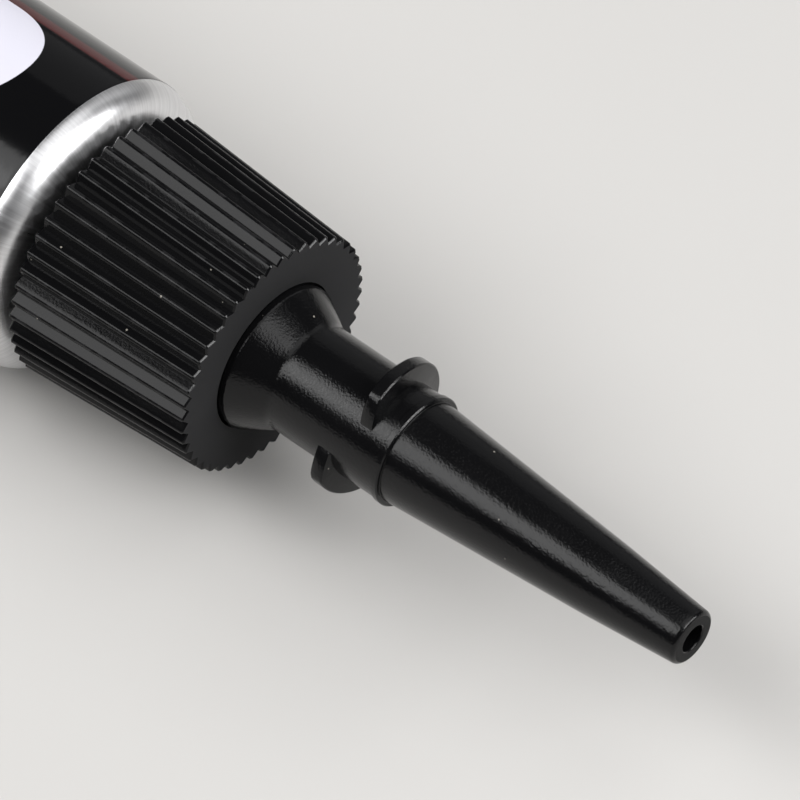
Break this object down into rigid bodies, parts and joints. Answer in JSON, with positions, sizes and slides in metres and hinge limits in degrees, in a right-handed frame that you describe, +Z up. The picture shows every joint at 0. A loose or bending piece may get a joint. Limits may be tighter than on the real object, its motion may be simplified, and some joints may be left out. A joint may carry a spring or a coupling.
{
  "type": "super glue tube",
  "caption": "Collapsible metal glue tube with a folded flat tail, and a tapered black spout held on its threaded neck by a ribbed screw collar.",
  "frame": {"origin": "on the floor, midway along the tube and on its centre plane", "axes": "+X along the tube's axis towards the tip of the spout, +Y across the flat tail, +Z up from the floor that the tube lies on"},
  "size_m": [0.157, 0.0344, 0.0221],
  "materials": {
    "bare_metal": "bright drawn aluminium",
    "black_enamel": "gloss baked enamel",
    "lacquer": "clear golden lacquer",
    "latex": "dried latex",
    "glue": "clear liquid",
    "collar_plastic": "semi-gloss moulded plastic",
    "spout_plastic": "gloss moulded plastic with slight orange peel"
  },
  "bodies": {
    "tube": {"tube_shell": "bare_metal", "enamel_coat": "black_enamel", "inner_lacquer": "lacquer", "tail_sealant": "latex", "glue_charge": "glue"},
    "spout": {"spout": "spout_plastic"},
    "collar": {"collar": "collar_plastic"}
  },
  "joints": [
    {"name": "spout_lift", "type": "slide", "parent": "tube", "child": "spout", "axis": [1, 0, 0], "range_m": [0, 0.00525]},
    {"name": "collar_turn", "type": "hinge", "parent": "spout", "child": "collar", "pos_m": [0.0425, 0, 0.01103], "axis": [1, 0, 0], "range_deg": [0, 1260]}
  ],
  "couplings": [
    {"joint": "spout_lift", "follows": "collar_turn", "m_per_rad": 0.00023873}
  ]
}
